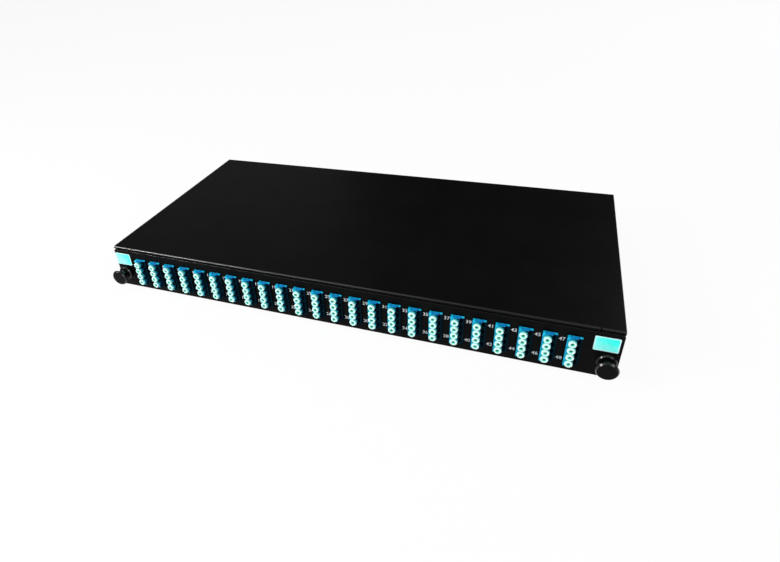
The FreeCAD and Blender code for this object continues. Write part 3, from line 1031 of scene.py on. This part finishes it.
def make_numbers(adapters, front, ink):
    """The printed port numbers: odd ones beside the top of each adapter, even ones lower."""
    mesh_data = bmesh.new()
    facing = Matrix.Rotation(math.radians(90), 4, "X")
    stretch = Matrix.Diagonal((NUMBER_STRETCH, 1, 1, 1))
    gap = corners(adapters[1])[0].x - corners(adapters[0])[1].x
    previous = corners(adapters[0])[0].x - gap
    for index, adapter in enumerate(adapters):
        low, high = corners(adapter)
        middle_x = (previous + low.x) / 2
        middle_z = (low.z + high.z) / 2
        previous = high.x
        for number, z in (
            (2 * index + 1, middle_z + UPPER_NUMBER_RISE),
            (2 * index + 2, middle_z - LOWER_NUMBER_DROP),
        ):
            mesh = printed(str(number))
            mesh.transform(Matrix.Translation((middle_x, front, z)) @ facing @ stretch)
            mesh_data.from_mesh(mesh)
            bpy.data.meshes.remove(mesh)
    merge_points(mesh_data, NUMBER_TOUCH)
    piece("port_numbers", mesh_data, [ink], "drawer")


def mark_latch_faces(mesh_data):
    """Give the faces of a latch that look straight to the front their own finish."""
    for face in mesh_data.faces:
        if face.normal.y < -LATCH_FRONT_LOOK:
            face.material_index = LATCH_FACE_FINISH


def make_latch(side, front, materials):
    """One push-pull latch: the fixed collar and its sleeve, and the plunger's pin, neck and knob."""
    node = "latch_collar_" + side
    low, high = corners(node)
    start = Vector(((low.x + high.x) / 2, front, (low.z + high.z) / 2))
    radius = (high.x - low.x) / 2
    bore = PIN_RADIUS + PIN_PLAY
    tube_end = front - high.y
    path = [
        (bore, tube_end, 0),
        (TUBE_RADIUS, tube_end, TUBE_ROUND),
        (TUBE_RADIUS, 0, 0),
        (radius, 0, LATCH_EDGE),
        (radius, COLLAR_LENGTH - COLLAR_CHAMFER_DEPTH, LATCH_EDGE),
        (radius - COLLAR_CHAMFER_WIDTH, COLLAR_LENGTH, LATCH_EDGE),
        (COLLAR_BORE, COLLAR_LENGTH, COLLAR_BORE_ROUND),
        (COLLAR_BORE, COLLAR_LENGTH - COLLAR_BORE_DEPTH, 0),
        (bore, COLLAR_LENGTH - COLLAR_BORE_DEPTH, 0),
        (bore, tube_end, 0),
    ]
    collar = bmesh.new()
    lathe(collar, rounded(path), start, FORWARD, LATCH_SEGMENTS)
    merge_points(collar)
    mark_latch_faces(collar)
    piece("fixed_collar_" + side, collar, materials, "drawer", [node])

    node = "latch_plunger_" + side
    low, high = corners(node)
    radius = (high.x - low.x) / 2
    pin_end = front - high.y
    neck_end = COLLAR_LENGTH + NECK_GAP
    tip = front - low.y
    rim = tip - KNOB_DOME
    back = tip - KNOB_LENGTH
    path = [
        (0, pin_end, 0),
        (PIN_RADIUS, pin_end, PIN_ROUND),
        (PIN_RADIUS, neck_end, 0),
        (NECK_RADIUS, neck_end, NECK_ROUND),
        (NECK_RADIUS, back, KNOB_ROOT),
        (radius - KNOB_CHAMFER_WIDTH, back, LATCH_EDGE),
        (radius, back + KNOB_CHAMFER_DEPTH, LATCH_EDGE),
        (radius, rim - KNOB_CHAMFER_DEPTH, LATCH_EDGE),
        (radius - KNOB_CHAMFER_WIDTH, rim, LATCH_EDGE),
        (0, tip, 0),
    ]
    plunger = bmesh.new()
    lathe(plunger, rounded(path), start, FORWARD, LATCH_SEGMENTS)
    mark_latch_faces(plunger)
    piece("pull_knob_" + side, plunger, materials, "latch_" + side, [node])


def cut_corners(low, high, inset):
    """The outline of a splice tray: a rectangle with its corners cut off."""
    middle = (low + high) / 2
    half_x = (high.x - low.x) / 2 - inset
    half_y = (high.y - low.y) / 2 - inset
    corner = SPLICE_CORNER - inset / 2
    outline = []
    for sign_x, sign_y in ((1, 1), (-1, 1), (-1, -1), (1, -1)):
        along = middle.x + sign_x * (half_x - corner), middle.y + sign_y * half_y
        down = middle.x + sign_x * half_x, middle.y + sign_y * (half_y - corner)
        outline.extend([down, along] if sign_x == sign_y else [along, down])
    return outline


def make_splice_tray(side, plastic):
    """One splice tray: an open shell with two winding hubs and a comb for the splices."""
    node = "splice_tray_" + side
    low, high = corners(node)
    middle = (low + high) / 2
    floor_z = low.z + SPLICE_WALL
    foot_z = floor_z - SPLICE_SINK
    mesh_data = bmesh.new()
    rings = []
    for inset, z in ((0, low.z), (0, high.z), (SPLICE_WALL, high.z), (SPLICE_WALL, floor_z)):
        rings.append([mesh_data.verts.new((x, y, z)) for x, y in cut_corners(low, high, inset)])
    for near, far in zip(rings, rings[1:]):
        for index in range(len(near)):
            mesh_data.faces.new((near[index - 1], near[index], far[index], far[index - 1]))
    mesh_data.faces.new(rings[0])
    mesh_data.faces.new(rings[-1])
    bmesh.ops.recalc_face_normals(mesh_data, faces=mesh_data.faces)
    soften(mesh_data, SPLICE_EDGE)
    top = SPLICE_SINK + HUB_HEIGHT
    hub = [
        (0, 0, 0),
        (HUB_RADIUS, 0, 0),
        (HUB_RADIUS, top, HUB_RIM_ROUND),
        (HUB_RADIUS - HUB_RIM, top, HUB_DISH_ROUND),
        (HUB_RADIUS - HUB_RIM, top - HUB_DISH, 0),
        (0, top - HUB_DISH, 0),
    ]
    for x in (middle.x - HUB_SPACING / 2, middle.x + HUB_SPACING / 2):
        lathe(mesh_data, rounded(hub), Vector((x, middle.y, foot_z)), UPWARD, HUB_SEGMENTS)
    rib_x = middle.x - RIB_LENGTH / 2, middle.x + RIB_LENGTH / 2
    ribs = []
    for index in range(RIB_COUNT):
        y = low.y + SPLICE_WALL + RIB_PITCH * (index + 1)
        ribs.append(block(*rib_x, y, y + RIB_WIDTH, foot_z, floor_z + RIB_HEIGHT))
    comb = carved(ribs)
    soften(comb, SPLICE_EDGE)
    add_mesh(mesh_data, comb)
    piece("splice_base_" + side, mesh_data, [plastic], "drawer", [node])


def drive_cross(angle):
    """The reach of a cross-shaped drive recess at an angle."""
    quarter = math.pi / 2
    slope = math.sin(abs((angle + quarter / 2) % quarter - quarter / 2))
    return DRIVE_HALF_ARM / slope if DRIVE_REACH * slope > DRIVE_HALF_ARM else DRIVE_REACH


def drive_floor(angle):
    """The smaller outline at the bottom of the drive recess."""
    return DRIVE_TAPER * drive_cross(angle)


def make_cover_screws(material):
    """Raised countersunk screws with a cross drive, in the cover's flanges."""
    edge = corners("top_cover")[1]
    low, high = corners("cover_screws")
    z = (low.z + high.z) / 2
    recess = SCREW_RAISE - DRIVE_DEPTH
    path = [
        (0, -SCREW_LENGTH),
        (SCREW_SHANK_RADIUS, -SCREW_LENGTH),
        (SCREW_SHANK_RADIUS, -COVER_SHEET),
        *((SCREW_HEAD_RADIUS * share, rise) for share, rise in SCREW_CROWN),
        (drive_cross, SCREW_RAISE + DRIVE_RIM),
        (drive_floor, recess),
        (0, recess - DRIVE_POINT),
    ]
    mesh_data = bmesh.new()
    for side in (-1, 1):
        for y in (-SIDE_SCREW_Y, SIDE_SCREW_Y):
            start = Vector((side * edge.x, y, z))
            lathe(mesh_data, path, start, Vector((side, 0, 0)), SCREW_SEGMENTS)
        start = Vector((side * REAR_SCREW_X, edge.y, z))
        lathe(mesh_data, path, start, REARWARD, SCREW_SEGMENTS)
    piece("flange_screws", mesh_data, [material], "case", ["cover_screws"])


def make_studs(material, plastic):
    """Threaded studs and knurled nuts that hold the splice trays down."""
    low, high = corners("tray_studs")
    radius = (high.y - low.y) / 2
    y = (low.y + high.y) / 2
    stud_path = [(0, low.z), (radius, low.z)]
    for turn in range(int((high.z - low.z) / THREAD_PITCH)):
        z = low.z + turn * THREAD_PITCH
        stud_path.append((radius - THREAD_DEPTH, z + THREAD_PITCH / 2))
        stud_path.append((radius, z + THREAD_PITCH))
    stud_path.append((radius - THREAD_DEPTH, high.z))
    stud_path.append((0, high.z))

    nut_low, nut_high = corners("stud_nuts")
    nut_radius = (nut_high.y - nut_low.y) / 2
    height = nut_high.z - nut_low.z
    bore = radius - THREAD_BITE

    def knurl(angle):
        return nut_radius - NUT_TOOTH_DEPTH * (1 - math.cos(NUT_TEETH * angle)) / 2

    nut_path = [
        (bore, 0),
        (nut_radius - NUT_FOOT_WIDTH, 0),
        (knurl, NUT_FOOT_DEPTH),
        (knurl, height - NUT_CROWN_DEPTH),
        (nut_radius - NUT_CROWN_WIDTH, height),
        (bore, height),
        (bore, 0),
    ]
    studs = bmesh.new()
    nuts = bmesh.new()
    for side in (-1, 1):
        x = side * (high.x - radius)
        lathe(studs, stud_path, Vector((x, y, 0)), UPWARD, STUD_SEGMENTS)
        lathe(nuts, nut_path, Vector((x, y, nut_low.z)), UPWARD, NUT_TOOTH_STEPS * NUT_TEETH)
    merge_points(nuts)
    piece("threaded_studs", studs, [material], "drawer", ["tray_studs"])
    piece("knurled_nuts", nuts, [plastic], "drawer", ["stud_nuts"])


# Studio

def seen_rays(tree):
    """Whether a ray comes from the camera, and whether it comes from a mirror or through glass."""
    rays = shader_node(tree, "LightPath").outputs
    mirrored = maths(tree, "MAXIMUM", rays["Is Glossy Ray"], rays["Is Transmission Ray"])
    return rays["Is Camera Ray"], mirrored


def make_floor():
    """A white floor that keeps the object's shadow."""
    half = FLOOR_SIZE / 2 * MM
    outline = [(-half, -half, 0), (half, -half, 0), (half, half, 0), (-half, half, 0)]
    mesh = bpy.data.meshes.new("floor")
    mesh.from_pydata(outline, [], [(0, 1, 2, 3)])
    floor = bpy.data.objects.new("floor", mesh)
    bpy.context.scene.collection.objects.link(floor)
    material, tree, shader = new_material("floor_white")
    shader.inputs["Base Color"].default_value = FLOOR_COLOUR
    shader.inputs["Roughness"].default_value = FLOOR_ROUGHNESS
    shader.inputs["Specular IOR Level"].default_value = 0.0
    direct, mirrored = seen_rays(tree)
    seen = maths(tree, "ADD", direct, mirrored, clamp=True)
    share = maths(tree, "MULTIPLY", seen, FLOOR_GLOW)
    glow = shader_node(tree, "Emission", {"Color": WHITE, "Strength": 1.0})
    mixed = shader_node(tree, "MixShader", {0: share, 1: shader.outputs[0], 2: glow.outputs[0]})
    tree.links.new(mixed.outputs[0], tree.nodes["Material Output"].inputs["Surface"])
    mesh.materials.append(material)


def make_world():
    """A white backdrop, which mirrors show up to its top, and a dim sky that is brighter overhead."""
    world = bpy.data.worlds.new("studio")
    world.use_nodes = True
    tree = world.node_tree
    direction = shader_node(tree, "TexCoord").outputs["Generated"]
    height = shader_node(tree, "SeparateXYZ", {"Vector": direction}).outputs["Z"]
    sky = map_range(tree, height, SKY_LOW, SKY_HIGH, LOW_STRENGTH, HIGH_STRENGTH)
    direct, mirrored = seen_rays(tree)
    under_top = maths(tree, "LESS_THAN", height, BACKDROP_TOP)
    seen = maths(tree, "MULTIPLY_ADD", mirrored, under_top, direct, clamp=True)
    strength = shader_node(tree, "Mix", {"Factor": seen, "A": sky, "B": BACKDROP_STRENGTH})
    background = tree.nodes["Background"]
    background.inputs["Color"].default_value = WHITE
    tree.links.new(strength.outputs["Result"], background.inputs["Strength"])
    bpy.context.scene.world = world


def make_lamp(name, place, width, height, power):
    """A soft box aimed at the object."""
    lamp = bpy.data.lights.new(name, "AREA")
    lamp.shape = "RECTANGLE"
    lamp.size = width * MM
    lamp.size_y = height * MM
    lamp.energy = power
    holder = bpy.data.objects.new(name, lamp)
    holder.location = Vector(place) * MM
    aim = (LAMP_AIM - Vector(place)).normalized()
    holder.rotation_euler = aim.to_track_quat("-Z", "Y").to_euler()
    bpy.context.scene.collection.objects.link(holder)


def make_camera():
    """The camera, placed and framed as for the photograph."""
    data = bpy.data.cameras.new("camera")
    data.sensor_width = SENSOR_WIDTH
    data.lens = FOCAL_PIXELS / IMAGE_WIDTH * SENSOR_WIDTH
    data.shift_x = (IMAGE_WIDTH / 2 - PRINCIPAL_X) / IMAGE_WIDTH
    data.shift_y = (PRINCIPAL_Y - IMAGE_HEIGHT / 2) / IMAGE_WIDTH
    data.clip_start = CLIP_NEAR * MM
    data.clip_end = CLIP_FAR * MM
    forward = (CAMERA_TARGET - CAMERA_PLACE).normalized()
    level = forward.cross(UPWARD).normalized()
    upright = level.cross(forward)
    right = level * math.cos(CAMERA_ROLL) + upright * math.sin(CAMERA_ROLL)
    up = right.cross(forward)
    turned = Matrix((right, up, -forward)).transposed().to_4x4()
    camera = bpy.data.objects.new("camera", data)
    camera.matrix_world = Matrix.Translation(CAMERA_PLACE * MM) @ turned
    bpy.context.scene.collection.objects.link(camera)
    bpy.context.scene.camera = camera


# Assembly

front_plane = corners("front_panel")[0].y
adapter_nodes = ["adapter_%02d" % (index + 1) for index in range(ADAPTER_COUNT)]
case_paint = powder_coat("case_paint", rough=(0.27, 0.35), specular=0.06)
edge_paint = powder_coat("edge_paint", rough=(0.27, 0.35), specular=0.60)
panel_paint = powder_coat("panel_paint", rough=(0.42, 0.50), specular=0.05)
blackened = fastener_steel()
nylon = clip_white()
latch_finish = [
    latch_black("latch_gloss", rough=(0.22, 0.28), specular=0.45),
    latch_black("latch_face", rough=(0.3, 0.36), specular=0.05),
]

make_sheet_metal(case_paint, panel_paint, edge_paint, zinc_steel())
make_cover(case_paint, edge_paint)
moulding = [adapter_blue(), adapter_navy(), sleeve_ceramic(), adapter_rim()]
for adapter_node in adapter_nodes:
    make_adapter(adapter_node, front_plane, moulding)
cap_finish = [
    cap_white(corners("dust_caps_row_1")[0].y),
    # The hole's floor is darker green, painted shade at the bottom of the hole; its wall keeps the
    # lighter green
    cap_hole("cap_hole_floor_shade", dark=(0.003, 0.12, 0.08), light=(0.008, 0.19, 0.13)),
    cap_hole("cap_hole_wall", dark=(0.09, 0.64, 0.52), light=(0.15, 0.72, 0.60)),
]
for cap_row in range(1, CAP_ROWS + 1):
    make_caps(cap_row, adapter_nodes, cap_finish)
label_finish = [label_aqua(), label_pale()]
grommet_finish = rubber()
splice_finish = splice_grey()
lid_finish = lid_clear()
for end in ("left", "right"):
    grommet = "cable_grommet_" + end
    lid = "splice_lid_" + end
    make_label(end, label_finish)
    make_latch(end, front_plane, latch_finish)
    dressed(grommet, "cable_frame_" + end, grommet_finish, "case", RUBBER_EDGE)
    make_splice_tray(end, splice_finish)
    dressed(lid, "splice_cover_" + end, lid_finish, "drawer", SPLICE_EDGE)
make_numbers(adapter_nodes, front_plane, number_ink())
make_cover_screws(blackened)
make_studs(blackened, nylon)
dressed("routing_clips", "fibre_guides", nylon, "drawer", CLIP_EDGE)

make_floor()
make_world()
make_lamp("key", place=(-990, -820, 650), width=640, height=220, power=17.5)
make_lamp("fill", place=(1200, -1100, 900), width=900, height=900, power=13)
make_lamp("card", place=(-1180, 1460, 1000), width=1200, height=900, power=0.85)
make_lamp("strip", place=(-500, -500, 1500), width=500, height=500, power=2.2)
make_lamp("rear", place=(1100, 1300, 900), width=900, height=900, power=9)
make_camera()
bpy.context.scene.view_settings.view_transform = "Standard"
